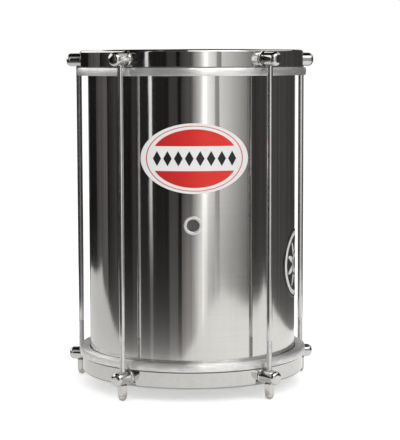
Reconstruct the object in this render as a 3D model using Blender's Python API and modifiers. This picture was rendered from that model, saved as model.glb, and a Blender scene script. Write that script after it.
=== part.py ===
"""Deep samba drum with a polished aluminium shell, two heads and five through tension rods.

The drum stands on Z with its front, which carries the badge, towards -Y. The origin is the centre of the
batter head's playing face. All sizes are in metres, and azimuths run from the front (-Y) towards +X.
"""

import bpy
import bmesh
from math import cos, pi, radians, sin, sqrt
from mathutils import Matrix

MM = 0.001

# Shell: rolled sheet whose two ends are curled inward as bearing edges
SHELL_RADIUS = 151.0 * MM
SHELL_LENGTH = 450.0 * MM
SHELL_WALL = 1.5 * MM
CURL_RADIUS = 4.0 * MM
CURL_TURN = 135.0

# Clearances
SEAT_GAP = 0.3 * MM          # between pieces that rest on each other
COLLAR_SPARE = 0.75 * MM     # left at each end of the collar's travel in the flesh hoop

# Tuning: M8 thread, shared equally by the two hoops
THREAD_PITCH = 1.25 * MM
LOOSEN_TURNS = 6
TIGHTEN_TURNS = 2
LOOSEN_TRAVEL = THREAD_PITCH * LOOSEN_TURNS
TIGHTEN_TRAVEL = THREAD_PITCH * TIGHTEN_TURNS

# Heads: film over the bearing edge, with a collar that ends in the flesh hoop's slot
FILM = 0.35 * MM
COLLAR_SLOPE = 7.15 * MM

# Flesh hoops: slotted aluminium rings round the shell's ends
FLESH_CLEARANCE = 1.2 * MM
FLESH_LIP = 5.1 * MM
FLESH_SLOT = 1.8 * MM
FLESH_SHOULDER = 1.6 * MM
FLESH_OVERHANG = 4.4 * MM
FLESH_BULGE = 1.0 * MM
FLESH_HEIGHT = 11.0 * MM
FLESH_FLOOR = 2.0 * MM

# Counterhoops: flat steel bands with the outer edge rolled in
BAND_WALL = 1.8 * MM
BAND_MARGIN = 1.8 * MM
BAND_ROLL = 4.0 * MM

# Barrel lugs: turned barrels peened into the counterhoops
LUG_COUNT = 5
FIRST_LUG = -34.0
BARREL_RADIUS = 9.75 * MM
BARREL_BEYOND_ROD = 18.0 * MM
BARREL_ROUND = 6.0 * MM
BARREL_FOOT = 11.5 * MM
FOOT_EDGE = 1.0 * MM
FOOT_FLARE = 4.0 * MM
SPIGOT_RADIUS = 5.0 * MM
PEEN_WIDTH = 1.3 * MM
PEEN_HEIGHT = 1.0 * MM
NUT_SEAT = 0.6 * MM          # depth of the flat that each nut bears on

# Tension rods
ROD_RADIUS = 4.0 * MM
ROD_CLEARANCE = 3.6 * MM
ROD_CHAMFER = 0.8 * MM
ROD_ABOVE_BARREL_AXIS = 5.0 * MM
ROD_HELD = 1.5 * MM          # thread still in the nut when it is at its loosest

# Domed nuts, which the drum stands on
NUT_ACROSS_FLATS = 13.0 * MM
NUT_CHAMFER = 0.9 * MM
NUT_NECK = 0.5 * MM
NUT_DOME = 7.2 * MM
NUT_TIP_RADIUS = 2.2 * MM
NUT_TIP_WALL = 6.5 * MM
BORE_SPARE = 4.5 * MM

# Vent eyelet
VENT_AZIMUTH = 0.5
VENT_BELOW_TOP = 231.8 * MM
VENT_RADIUS = 8.7 * MM
EYELET_WALL = 0.9 * MM
EYELET_FLANGE = 3.2 * MM
EYELET_THICKNESS = 1.5 * MM

# Badge and side decal: thin plates bent to the shell
BADGE_AZIMUTH = 1.6
BADGE_BELOW_TOP = 139.7 * MM
BADGE_WIDTH = 148.0 * MM
BADGE_HEIGHT = 97.0 * MM
DECAL_AZIMUTH = 78.7
DECAL_BELOW_TOP = 299.3 * MM
DECAL_DIAMETER = 100.0 * MM
PLATE = 0.5 * MM

# Facets
RING_SEGMENTS = 50
BARREL_SEGMENTS = 14
ROD_SEGMENTS = 12
EYELET_SEGMENTS = 20
PLATE_SEGMENTS = 40
SMOOTH_ANGLE = radians(38)
MERGE = 0.00001

# Radii that follow from the sizes above
FLESH_INNER = SHELL_RADIUS + FLESH_CLEARANCE
SLOT_INNER = FLESH_INNER + FLESH_LIP
SLOT_OUTER = SLOT_INNER + FLESH_SLOT
COLLAR_RADIUS = (SLOT_INNER + SLOT_OUTER) / 2
BAND_INNER = SLOT_OUTER + FLESH_SHOULDER
BAND_OUTER = BAND_INNER + BAND_WALL
FLESH_OUTER = BAND_OUTER + FLESH_OVERHANG
ROD_CIRCLE = FLESH_OUTER + ROD_CLEARANCE + ROD_RADIUS
PEEN_RADIUS = SPIGOT_RADIUS + PEEN_WIDTH

# Heights that follow, where a hoop line is the joint between a flesh hoop and its counterhoop
LINE_TO_LUG = BARREL_FOOT + SEAT_GAP
BAND_HEIGHT = LINE_TO_LUG + BARREL_FOOT + BAND_MARGIN
COLLAR_RISE = LOOSEN_TRAVEL / 2 + COLLAR_SPARE
EDGE_TO_LINE = CURL_RADIUS + COLLAR_SLOPE + COLLAR_RISE
SHELL_TOP = -(FILM + SEAT_GAP)
SHELL_BOTTOM = SHELL_TOP - SHELL_LENGTH
TOP_LINE = SHELL_TOP - EDGE_TO_LINE
BOTTOM_LINE = SHELL_BOTTOM + EDGE_TO_LINE
TOP_LUG = TOP_LINE + LINE_TO_LUG
BOTTOM_LUG = BOTTOM_LINE - LINE_TO_LUG

# Nut lengths that follow
NUT_TOP = BOTTOM_LUG - BARREL_RADIUS + NUT_SEAT - SEAT_GAP
ROD_IN_NUT = LOOSEN_TRAVEL + ROD_HELD
NUT_BORE = ROD_IN_NUT + TIGHTEN_TRAVEL + BORE_SPARE
NUT_LENGTH = NUT_BORE + NUT_TIP_WALL

# Colour, roughness and metallic value of each material
ALUMINIUM = ((0.72, 0.71, 0.70), 0.16, 1.0)
SATIN_ALUMINIUM = ((0.66, 0.66, 0.65), 0.32, 1.0)
CHROME = ((0.78, 0.78, 0.79), 0.06, 1.0)
ZINC_STEEL = ((0.62, 0.62, 0.62), 0.18, 1.0)
FILM_WHITE = ((0.86, 0.86, 0.83), 0.45, 0.0)
BADGE_WHITE = ((0.88, 0.87, 0.84), 0.30, 0.0)


def clear_scene():
    """Removes every object, so that the drum is alone in the file."""
    for item in list(bpy.data.objects):
        bpy.data.objects.remove(item, do_unlink=True)


def new_collection(name):
    """Makes a collection in the scene."""
    collection = bpy.data.collections.new(name)
    bpy.context.scene.collection.children.link(collection)
    return collection


def lug_angles():
    """Angles from +X of the lugs, which are evenly spaced."""
    spacing = 2 * pi / LUG_COUNT
    return [heading(FIRST_LUG) + spacing * index for index in range(LUG_COUNT)]


def heading(azimuth):
    """The angle from +X, in radians, of an azimuth in degrees from the front."""
    return radians(azimuth - 90)


def arc(centre, radius, start, stop, steps):
    """Profile points on an arc, its angles in degrees from the outward direction towards +Z."""
    angles = [radians(start + (stop - start) * step / steps) for step in range(steps + 1)]
    return [(centre[0] + radius * cos(angle), centre[1] + radius * sin(angle)) for angle in angles]


def facing(profile, end):
    """A profile drawn for the top end of the drum, turned over for the bottom end where end is -1."""
    if end > 0:
        return profile
    return [(radius, -height) for radius, height in reversed(profile)]


def flat_radius(radius):
    """How far the middle of a facet of a ring lies from the axis."""
    return radius * cos(pi / RING_SEGMENTS)


def ring_turn():
    """The turn about Z that puts the middle of a facet behind each lug."""
    return lug_angles()[0] - pi / RING_SEGMENTS


def radial_frame(angle, radius, height, spin=0.0):
    """A frame whose Z points outward from the drum's axis."""
    place = Matrix.Rotation(angle, 4, "Z") @ Matrix.Translation((radius, 0, height))
    return place @ Matrix.Rotation(pi / 2, 4, "Y") @ Matrix.Rotation(spin, 4, "Z")


def upright_frame(angle, radius, height, spin=0.0):
    """A frame parallel to the drum's axis."""
    place = Matrix.Rotation(angle, 4, "Z") @ Matrix.Translation((radius, 0, height))
    return place @ Matrix.Rotation(spin, 4, "Z")


def turned(name, profile, segments):
    """A profile of (radius, height) points, spun about Z by a Screw modifier."""
    points = [(radius, 0.0, height) for radius, height in profile]
    edges = [(index, index + 1) for index in range(len(points) - 1)]
    if profile[0][0] > 0:
        edges.append((len(points) - 1, 0))
    mesh = bpy.data.meshes.new(name)
    mesh.from_pydata(points, edges, [])
    piece = bpy.data.objects.new(name, mesh)
    screw = piece.modifiers.new("Turn", "SCREW")
    screw.axis = "Z"
    screw.angle = 2 * pi
    screw.steps = segments
    screw.render_steps = segments
    screw.use_merge_vertices = True
    screw.merge_threshold = MERGE
    return piece


def solid(name, build):
    """An object whose mesh the function build makes in bmesh."""
    mesh = bpy.data.meshes.new(name)
    work = bmesh.new()
    build(work)
    work.to_mesh(mesh)
    work.free()
    return bpy.data.objects.new(name, mesh)


def as_cutter(cutter):
    """Puts a cutting shape in the cutters' collection, out of sight."""
    CUTTERS.objects.link(cutter)
    cutter.hide_render = True
    cutter.display_type = "WIRE"
    return cutter


def combine(piece, other, operation):
    """Cuts a piece by another shape, or keeps what both share."""
    boolean = piece.modifiers.new(operation.capitalize(), "BOOLEAN")
    boolean.operation = operation
    boolean.solver = "EXACT"
    boolean.object = other


def finish(piece, look):
    """Takes the modifiers' result as the mesh, shades its round faces smooth and gives it its material."""
    PARTS.objects.link(piece)
    piece.parent = DRUM
    bpy.context.view_layer.update()
    evaluated = piece.evaluated_get(bpy.context.evaluated_depsgraph_get())
    mesh = bpy.data.meshes.new_from_object(evaluated)
    mesh.name = piece.name
    piece.modifiers.clear()
    piece.data = mesh
    mesh.shade_smooth()
    mesh.set_sharp_from_angle(angle=SMOOTH_ANGLE)
    mesh.materials.clear()
    mesh.materials.append(new_material(piece.name, look))
    return piece


def new_material(name, look):
    """A Principled material of one sub-part."""
    colour, roughness, metallic = look
    material = bpy.data.materials.new(name)
    material.use_nodes = True
    shader = material.node_tree.nodes["Principled BSDF"]
    shader.inputs["Base Color"].default_value = (*colour, 1.0)
    shader.inputs["Roughness"].default_value = roughness
    shader.inputs["Metallic"].default_value = metallic
    material.diffuse_color = (*colour, 1.0)
    return material


def make_shell():
    """The shell: straight wall, both ends curled inward, and the vent hole."""
    curl_z = SHELL_LENGTH / 2 - CURL_RADIUS
    curl_r = SHELL_RADIUS - CURL_RADIUS
    inner_curl = CURL_RADIUS - SHELL_WALL
    outside = list(reversed(arc((curl_r, curl_z), CURL_RADIUS, 0, CURL_TURN, 3)))
    inside = list(reversed(arc((curl_r, curl_z), inner_curl, 0, CURL_TURN, 3)))
    lower_outside = facing(outside, -1)
    lower_inside = facing(inside, -1)
    profile = outside + lower_outside + list(reversed(lower_inside)) + list(reversed(inside))
    shell = turned("shell", profile, RING_SEGMENTS)
    shell.location.z = SHELL_TOP - SHELL_LENGTH / 2
    shell.rotation_euler.z = ring_turn()
    hole_radius = VENT_RADIUS + EYELET_WALL + SEAT_GAP
    reach = SHELL_RADIUS / 4
    hole = [(0, reach), (hole_radius, reach), (hole_radius, -reach), (0, -reach)]
    cutter = as_cutter(turned("vent_cutter", hole, EYELET_SEGMENTS))
    cutter.matrix_world = vent_frame(SHELL_RADIUS)
    combine(shell, cutter, "DIFFERENCE")
    finish(shell, ALUMINIUM)


def vent_frame(radius):
    """A frame at the vent, pointing outward."""
    return radial_frame(heading(VENT_AZIMUTH), radius, SHELL_TOP - VENT_BELOW_TOP)


def make_eyelet():
    """The vent eyelet: a short tube with a rounded flange outside and a rolled one inside."""
    tube = VENT_RADIUS + EYELET_WALL
    flange = tube + EYELET_FLANGE
    inner_wall = flat_radius(SHELL_RADIUS - SHELL_WALL)
    under_outer = SEAT_GAP
    over_inner = sqrt(inner_wall ** 2 - flange ** 2) - SEAT_GAP - SHELL_RADIUS
    crown = under_outer + EYELET_THICKNESS
    base = over_inner - EYELET_THICKNESS
    profile = [
        (VENT_RADIUS + EYELET_WALL / 2, crown),
        (flange - EYELET_THICKNESS, crown),
        (flange, under_outer + EYELET_THICKNESS / 3),
        (flange, under_outer),
        (tube, under_outer),
        (tube, over_inner),
        (flange, over_inner),
        (flange, over_inner - EYELET_THICKNESS / 3),
        (flange - EYELET_THICKNESS, base),
        (VENT_RADIUS + EYELET_WALL / 2, base),
        (VENT_RADIUS, base + EYELET_THICKNESS / 2),
        (VENT_RADIUS, crown - EYELET_THICKNESS / 2),
    ]
    eyelet = turned("vent_eyelet", profile, EYELET_SEGMENTS)
    eyelet.matrix_world = vent_frame(SHELL_RADIUS)
    finish(eyelet, CHROME)


def make_plate(name, azimuth, below_top, width, height, look):
    """A thin plate bent to the shell: the part of a thin ring that lies inside an oval prism."""
    inner = SHELL_RADIUS + SEAT_GAP
    outer = inner + PLATE
    sheet = [(outer, height), (outer, -height), (inner, -height), (inner, height)]
    plate = turned(name, sheet, RING_SEGMENTS)
    plate.location.z = SHELL_TOP - below_top
    plate.rotation_euler.z = ring_turn()

    def oval(work):
        size = Matrix.Diagonal((height / 2, width / 2, SHELL_RADIUS, 1))
        bmesh.ops.create_cone(work, cap_ends=True, segments=PLATE_SEGMENTS, radius1=1, radius2=1,
                              depth=1, matrix=size)

    prism = as_cutter(solid(name + "_outline", oval))
    prism.matrix_world = radial_frame(heading(azimuth), SHELL_RADIUS, SHELL_TOP - below_top)
    combine(plate, prism, "INTERSECT")
    finish(plate, look)


def make_counterhoop(name, end, line):
    """A counterhoop: flat band on the flesh hoop, outer edge rolled in, and a hole for each lug."""
    foot = SEAT_GAP / 2
    room = BAND_HEIGHT - LINE_TO_LUG - PEEN_RADIUS - SEAT_GAP
    roll = min(BAND_ROLL, room)
    roll_centre = (BAND_OUTER - roll, BAND_HEIGHT - roll)
    outside = arc(roll_centre, roll, 90, 0, 2)
    inside = arc(roll_centre, roll - BAND_WALL, 0, 90, 2)
    profile = outside + [(BAND_OUTER, foot), (BAND_INNER, foot)] + inside
    hoop = turned(name, facing(profile, end), RING_SEGMENTS)
    hoop.location.z = line
    hoop.rotation_euler.z = ring_turn()

    def pegs(work):
        for angle in lug_angles():
            place = radial_frame(angle, (BAND_INNER + BAND_OUTER) / 2, line + end * LINE_TO_LUG)
            bmesh.ops.create_cone(work, cap_ends=True, segments=ROD_SEGMENTS,
                                  radius1=SPIGOT_RADIUS + SEAT_GAP, radius2=SPIGOT_RADIUS + SEAT_GAP,
                                  depth=4 * BAND_WALL, matrix=place)

    combine(hoop, as_cutter(solid(name + "_holes", pegs)), "DIFFERENCE")
    finish(hoop, CHROME)


def make_flesh_hoop(name, end, line):
    """A flesh hoop: ring with a rounded outer side and a slot for the head's collar."""
    top = -SEAT_GAP / 2
    bottom = top - FLESH_HEIGHT
    middle = (top + bottom) / 2
    shoulder = FLESH_OUTER - FLESH_BULGE
    quarter = FLESH_HEIGHT / 4
    profile = [
        (shoulder, top),
        (FLESH_OUTER - FLESH_BULGE / 4, middle + quarter),
        (FLESH_OUTER, middle),
        (FLESH_OUTER - FLESH_BULGE / 4, middle - quarter),
        (shoulder, bottom),
        (FLESH_INNER, bottom),
        (FLESH_INNER, top),
        (SLOT_INNER, top),
        (SLOT_INNER, bottom + FLESH_FLOOR),
        (SLOT_OUTER, bottom + FLESH_FLOOR),
        (SLOT_OUTER, top),
    ]
    hoop = turned(name, facing(profile, end), RING_SEGMENTS)
    hoop.location.z = line
    hoop.rotation_euler.z = ring_turn()
    finish(hoop, SATIN_ALUMINIUM)


def make_skin(name, end, shell_end):
    """A head: flat film, bent over the bearing edge, with a sloping collar that drops into the slot."""
    centre = (SHELL_RADIUS - CURL_RADIUS, -CURL_RADIUS)
    inner_bend = CURL_RADIUS + SEAT_GAP
    outer_bend = inner_bend + FILM
    slope_foot = -EDGE_TO_LINE + COLLAR_RISE
    slot_depth = FLESH_HEIGHT - FLESH_FLOOR
    collar_end = -EDGE_TO_LINE - (slot_depth - LOOSEN_TRAVEL / 2 - COLLAR_SPARE)
    outer = COLLAR_RADIUS + FILM / 2
    inner = COLLAR_RADIUS - FILM / 2
    outside = [(0, centre[1] + outer_bend)] + arc(centre, outer_bend, 90, 0, 2)
    outside += [(outer, slope_foot), (outer, collar_end)]
    inside = [(inner, collar_end), (inner, slope_foot)] + arc(centre, inner_bend, 0, 90, 2)
    inside += [(0, centre[1] + inner_bend)]
    skin = turned(name, facing(outside + inside, end), RING_SEGMENTS)
    skin.location.z = shell_end
    skin.rotation_euler.z = ring_turn()
    finish(skin, FILM_WHITE)


def barrel_profile():
    """A lug's profile, from its rounded outer end to the peened head behind the band."""
    length = ROD_CIRCLE + BARREL_BEYOND_ROD - seat_radius()
    rounding = min(BARREL_ROUND, BARREL_RADIUS)
    end_centre = (BARREL_RADIUS - rounding, length - rounding)
    behind = flat_radius(BAND_OUTER) - flat_radius(BAND_INNER) + 2 * SEAT_GAP
    waist = BARREL_RADIUS + (BARREL_FOOT - BARREL_RADIUS) / 4
    return [(0, length)] + arc(end_centre, rounding, 90, 0, 3) + [
        (BARREL_RADIUS, FOOT_EDGE + FOOT_FLARE),
        (waist, FOOT_EDGE + FOOT_FLARE / 3),
        (BARREL_FOOT, FOOT_EDGE),
        (BARREL_FOOT, 0),
        (SPIGOT_RADIUS, 0),
        (SPIGOT_RADIUS, -behind),
        (PEEN_RADIUS, -behind),
        (SPIGOT_RADIUS, -behind - PEEN_HEIGHT),
        (0, -behind - PEEN_HEIGHT),
    ]


def seat_radius():
    """How far a lug's foot lies from the drum's axis."""
    return flat_radius(BAND_OUTER) + SEAT_GAP


def make_lug(name, angle, height, bore):
    """A barrel lug with its cross hole, cut by the profile named bore."""
    lug = turned(name, barrel_profile(), BARREL_SEGMENTS)
    lug.matrix_world = radial_frame(angle, seat_radius(), height, pi / BARREL_SEGMENTS)
    cutter = as_cutter(turned(name + "_bore", bore, ROD_SEGMENTS))
    cutter.matrix_world = upright_frame(angle, ROD_CIRCLE, height, pi / ROD_SEGMENTS)
    combine(lug, cutter, "DIFFERENCE")
    finish(lug, CHROME)


def top_bore():
    """The blind hole that holds the rod's head end, open below."""
    radius = ROD_RADIUS + SEAT_GAP
    end = ROD_ABOVE_BARREL_AXIS + SEAT_GAP
    return [(0, end), (radius, end), (radius, -2 * BARREL_RADIUS), (0, -2 * BARREL_RADIUS)]


def bottom_bore():
    """The through hole that the rod runs in, with the nut's flat seat below."""
    radius = ROD_RADIUS + SEAT_GAP
    seat = nut_corner_radius() + SEAT_GAP
    level = -BARREL_RADIUS + NUT_SEAT
    reach = 2 * BARREL_RADIUS
    return [(0, reach), (radius, reach), (radius, level), (seat, level), (seat, -reach), (0, -reach)]


def nut_corner_radius():
    """The radius through the hexagon's corners."""
    return NUT_ACROSS_FLATS / 2 / cos(pi / 6)


def make_rod(name, angle):
    """A tension rod, from the blind hole of its upper lug down into its nut."""
    top = TOP_LUG + ROD_ABOVE_BARREL_AXIS
    bottom = NUT_TOP - ROD_IN_NUT
    tip = ROD_RADIUS - ROD_CHAMFER
    profile = [
        (0, 0),
        (tip, 0),
        (ROD_RADIUS, -ROD_CHAMFER),
        (ROD_RADIUS, bottom - top + ROD_CHAMFER),
        (tip, bottom - top),
        (0, bottom - top),
    ]
    rod = turned(name, profile, ROD_SEGMENTS)
    rod.matrix_world = upright_frame(angle, ROD_CIRCLE, top, pi / ROD_SEGMENTS)
    finish(rod, ZINC_STEEL)


def make_nut(name, angle):
    """A domed nut: a bored blank turned with its neck and dome, then cut to a hexagon."""
    corner = nut_corner_radius()
    blank = corner + SEAT_GAP
    bore = ROD_RADIUS + SEAT_GAP
    dome = NUT_ACROSS_FLATS / 2 - NUT_NECK / 2
    dome_top = NUT_DOME - NUT_LENGTH
    profile = [
        (0, -NUT_BORE - bore / 2),
        (bore, -NUT_BORE),
        (bore, 0),
        (corner - NUT_CHAMFER, 0),
        (blank, -NUT_CHAMFER),
        (blank, dome_top + 2 * NUT_NECK),
        (dome - NUT_NECK, dome_top + NUT_NECK),
    ] + arc((0, dome - NUT_LENGTH), dome, 0, -60, 2) + [
        (NUT_TIP_RADIUS, -NUT_LENGTH),
        (0, -NUT_LENGTH),
    ]
    nut = turned(name, profile, ROD_SEGMENTS)
    nut.matrix_world = upright_frame(angle, ROD_CIRCLE, NUT_TOP, pi / ROD_SEGMENTS)

    def hexagon(work):
        bmesh.ops.create_cone(work, cap_ends=True, segments=6, radius1=corner, radius2=corner,
                              depth=4 * NUT_LENGTH)

    prism = as_cutter(solid(name + "_hexagon", hexagon))
    prism.matrix_world = nut.matrix_world
    combine(nut, prism, "INTERSECT")
    finish(nut, CHROME)


clear_scene()
PARTS = new_collection("samba_drum")
CUTTERS = new_collection("cutters")
DRUM = bpy.data.objects.new("drum", None)
PARTS.objects.link(DRUM)

make_shell()
make_eyelet()
make_plate("badge", BADGE_AZIMUTH, BADGE_BELOW_TOP, BADGE_WIDTH, BADGE_HEIGHT, BADGE_WHITE)
make_plate("side_decal", DECAL_AZIMUTH, DECAL_BELOW_TOP, DECAL_DIAMETER, DECAL_DIAMETER, BADGE_WHITE)
for side, facing_end, hoop_line, end_height in (
    ("top", 1, TOP_LINE, SHELL_TOP),
    ("bottom", -1, BOTTOM_LINE, SHELL_BOTTOM),
):
    make_skin(side + "_skin", facing_end, end_height)
    make_flesh_hoop(side + "_flesh_hoop", facing_end, hoop_line)
    make_counterhoop(side + "_hoop", facing_end, hoop_line)
for number, lug_angle in enumerate(lug_angles(), start=1):
    make_lug(f"top_barrel_{number}", lug_angle, TOP_LUG, top_bore())
    make_lug(f"bottom_barrel_{number}", lug_angle, BOTTOM_LUG, bottom_bore())
    make_rod(f"rod_{number}", lug_angle)
    make_nut(f"nut_{number}", lug_angle)
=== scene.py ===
"""Looks of a samba drum: polished shell, bright hoops and lugs, threaded rods, and a quiet photo studio.

Everything is in metres in the CAD frame. The origin is the centre of the batter head, +Z is up, and the
front, which carries the badge, faces -Y. Azimuths are degrees from the front (-Y) towards +X.
"""

from math import asin, atan2, ceil, cos, degrees, hypot, pi, radians, sin, sqrt, tan

import bmesh
import bpy
from mathutils import Matrix, Vector


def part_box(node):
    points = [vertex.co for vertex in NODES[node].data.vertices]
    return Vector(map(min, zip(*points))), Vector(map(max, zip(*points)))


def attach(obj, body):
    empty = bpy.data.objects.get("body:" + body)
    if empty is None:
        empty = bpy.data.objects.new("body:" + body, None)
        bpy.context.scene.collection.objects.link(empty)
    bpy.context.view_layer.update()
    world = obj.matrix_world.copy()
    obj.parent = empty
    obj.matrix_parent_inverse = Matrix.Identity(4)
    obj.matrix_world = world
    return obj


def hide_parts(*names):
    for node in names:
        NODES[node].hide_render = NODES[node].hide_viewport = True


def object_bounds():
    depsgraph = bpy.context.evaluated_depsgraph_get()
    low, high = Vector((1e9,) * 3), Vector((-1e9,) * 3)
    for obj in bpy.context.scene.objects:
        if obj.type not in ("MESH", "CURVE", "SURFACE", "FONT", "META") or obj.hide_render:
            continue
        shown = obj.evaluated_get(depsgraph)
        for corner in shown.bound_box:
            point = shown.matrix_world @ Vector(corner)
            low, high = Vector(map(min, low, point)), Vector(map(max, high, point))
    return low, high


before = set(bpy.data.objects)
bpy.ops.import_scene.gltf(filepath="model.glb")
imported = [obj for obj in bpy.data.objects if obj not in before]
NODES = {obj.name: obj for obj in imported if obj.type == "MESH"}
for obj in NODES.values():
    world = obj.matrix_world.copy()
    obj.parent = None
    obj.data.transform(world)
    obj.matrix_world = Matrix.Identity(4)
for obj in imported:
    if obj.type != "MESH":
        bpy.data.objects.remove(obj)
CAD_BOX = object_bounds()

MM = 0.001
LUG_NUMBERS = range(1, 6)
TOP = 1
BOTTOM = -1


# Reading the frame

def reach(node):
    """The smallest and largest distance of a node's corners from the drum's axis."""
    distances = [hypot(v.co.x, v.co.y) for v in NODES[node].data.vertices]
    return min(distances), max(distances)


def levels(node):
    """The lowest and highest point of a node."""
    low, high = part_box(node)
    return low.z, high.z


def middle(node):
    """The centre of a node's box."""
    low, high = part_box(node)
    return (low + high) / 2


# Sizes read from the frame
SHELL_RADIUS = reach("shell")[1]
SHELL_LOW, SHELL_HIGH = levels("shell")
BAND_LIP, BAND_OUTER = reach("top_hoop")
FLESH_INNER, FLESH_OUTER = reach("top_flesh_hoop")
TOP_JOINT = levels("top_hoop")[0]
BOTTOM_JOINT = levels("bottom_hoop")[1]
FLOOR_LEVEL = CAD_BOX[0][2]
VENT = middle("vent_eyelet")

# Sizes that go with them, as in the part's source
SHELL_WALL = 1.5 * MM
CURL_RADIUS = 4.0 * MM
CURL_TURN = 135
SEAT_GAP = 0.3 * MM
FILM = 0.35 * MM
COLLAR_SLOPE = 7.15 * MM
BAND_WALL = 1.8 * MM
FLESH_LIP = 5.1 * MM
FLESH_SLOT = 1.8 * MM
FLESH_FLOOR = 2.0 * MM
FLESH_BULGE = 1.0 * MM
BARREL_RADIUS = 9.75 * MM
BARREL_ROUND = 6.0 * MM
BARREL_FOOT = 11.5 * MM
FOOT_EDGE = 1.0 * MM
FOOT_FLARE = 4.0 * MM
SPIGOT_RADIUS = 5.0 * MM
PEEN_RADIUS = 6.3 * MM
PEEN_HEIGHT = 1.0 * MM
NUT_SEAT = 0.6 * MM
ROD_RADIUS = 4.0 * MM
ROD_CHAMFER = 0.8 * MM
THREAD_PITCH = 1.25 * MM
NUT_ACROSS_FLATS = 13.0 * MM
NUT_CHAMFER = 0.9 * MM
NUT_NECK = 0.5 * MM
NUT_DOME = 7.2 * MM
NUT_TIP_RADIUS = 2.2 * MM
NUT_BORE = 16.0 * MM
VENT_RADIUS = 8.7 * MM
EYELET_WALL = 0.9 * MM
EYELET_FLANGE = 3.2 * MM
EYELET_THICKNESS = 1.5 * MM
PLATE = 0.5 * MM

# Finer sizes that only the visual pieces have
THREAD_DEPTH = 0.6 * MM
THREAD_LENGTH = 70.0 * MM
BAND_EDGE = 0.35 * MM
EYELET_ROUND = 1.4 * MM
EYELET_LIP_ROUND = 1.2 * MM
EYELET_RIM = 0.1 * MM
FLESH_ROUND = 0.8 * MM
FLESH_EDGE = 0.4 * MM
FLESH_CREASE = 0.2 * MM
SLOT_EDGE = 0.3 * MM
GROOVE_FROM_OUTSIDE = 3.0 * MM
GROOVE_FLANK = 0.5 * MM
GROOVE_FLOOR = 1.0 * MM
GROOVE_DEPTH = 0.6 * MM
STEP_FROM_INSIDE = 3.0 * MM
STEP_FLANK = 0.4 * MM
STEP_RISE = 0.5 * MM
FLESH_RISE = 0.1 * MM
FOOT_ROUND = 0.3 * MM
FOOT_SEAT = 0.05 * MM
PEEN_TURNS = (0.4, 0.8, 1.2)
NUT_SHOULDER = 0.2 * MM
NUT_CORNERS_END = 2.4 * NUT_NECK
NUT_FACES_END = 1.6 * NUT_NECK
NUT_DOME_TURN = 66
BORE_CHAMFER = 0.4 * MM

# The rounded edge of a plate: shares of its half width and of its thickness
PLATE_EDGE = ((0.985, 1.0), (0.994, 0.85), (1.0, 0.45), (1.0, 0.0))

# Round pieces stay inside the box of their faceted CAD solids
RING_SPARE = 0.07 * MM
LUG_SPARE = 0.2 * MM

# Fineness of the meshes
RING_STEPS = 288
BARREL_STEPS = 64
NUT_STEPS = 72
ROD_STEPS = 32
THREAD_ROWS = 6
SHANK_ROWS = 12
FILLET_STEPS = 5
CURL_STEPS = 16
INNER_CURL_STEPS = 12
BEND_STEPS = 10
BULGE_STEPS = 12
ROLL_STEPS = 14
LUG_END_STEPS = 12
LUG_ROWS = 10
FLARE_STEPS = 8
DOME_STEPS = 14
PLATE_RINGS = 24
PLATE_STEPS = 144
VENT_ROWS = 4
VENT_ROW = 4.0 * MM
MERGE = 0.005 * MM
SHARP = radians(35)

# About how near to a rounding a long flat side has a row of corners, so that its shading stays true
FLAT_STARTS = 0.5 * MM

# The most that a rounding takes of a side
FILLET_MOST = 0.49

# How far cutters reach on both sides, and the height of the hexagon that cuts a nut, in nut lengths
PEG_REACH = 6.0 * MM
VENT_CUT = SHELL_RADIUS / 4
HEXAGON_LENGTHS = 4

# How deep in the shell's wall the polish ends, and from where on there is only the mill's dull skin
POLISH_DEPTH = SHELL_WALL * 0.6
MILL_DEPTH = SHELL_WALL * 0.9

# How far under the shell's upper edge its puckers start, and where they reach their most
PUCKERS_START = 40.0 * MM
PUCKERS_FULL = 8.0 * MM

# Painted shade: a dark line along the joint of band and flesh hoop, wider at the bottom hoop
JOINT_SHADE_WIDTH = 1.0 * MM
JOINT_SHADE_FADE = 0.4 * MM
JOINT_SHADE_WAVER = 0.4 * MM
LOWER_JOINT_SHADE_EXTRA = 0.8 * MM

# Badge: field, rim and line are shares of its half width and height
BADGE_WIDTH = 148.0 * MM
BADGE_HEIGHT = 97.0 * MM
BADGE_FIELD = 0.83
BADGE_RIM = 0.93
BADGE_LINE = 0.02
BADGE_BLUR = 0.006
BADGE_STRIPE = 34.0 * MM
LOZENGE_STEP = 15.0 * MM
LOZENGE_WIDTH = 12.0 * MM
LOZENGE_HEIGHT = 21.0 * MM
LOZENGE_BLUR = 0.03
LOZENGE_ROW = 120.0 * MM

# Decal: inner and outer edges of its rings as shares of its radius, the last of them cut into wedges
DECAL_DIAMETER = 100.0 * MM
DECAL_RIM = (0.80, 0.93)
DECAL_HUB = (0.17, 0.30)
DECAL_BLADES = (0.36, 0.72)
DECAL_WEDGES = 9
PRINT_BLUR = 0.15 * MM

# A wedge's half width as a share of their spacing, at two shares of the decal's radius
WEDGE_RANGE = (0.34, 0.72)
WEDGE_WIDTHS = (0.35, 0.05)


# Profiles

def arc(centre, radius, start, stop, steps):
    """Profile points on an arc, its angles in degrees from the outward direction towards +Z."""
    angles = [radians(start + (stop - start) * step / steps) for step in range(steps + 1)]
    return [(centre[0] + radius * cos(angle), centre[1] + radius * sin(angle)) for angle in angles]


def filleted(corners):
    """A closed profile whose corners (radius, height, rounding) are rounded off."""
    points = []
    count = len(corners)
    for index, (across, along, rounding) in enumerate(corners):
        here = Vector((across, along))
        if not rounding:
            points.append(tuple(here))
            continue
        back = Vector(corners[index - 1][:2]) - here
        ahead = Vector(corners[(index + 1) % count][:2]) - here
        half = back.angle(ahead) / 2
        cut = min(rounding / tan(half), back.length * FILLET_MOST, ahead.length * FILLET_MOST)
        start = here + back.normalized() * cut
        end = here + ahead.normalized() * cut
        for step in range(FILLET_STEPS + 1):
            share = step / FILLET_STEPS
            rest = 1 - share
            points.append(tuple(start * rest ** 2 + here * 2 * share * rest + end * share ** 2))
    return points


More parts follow.
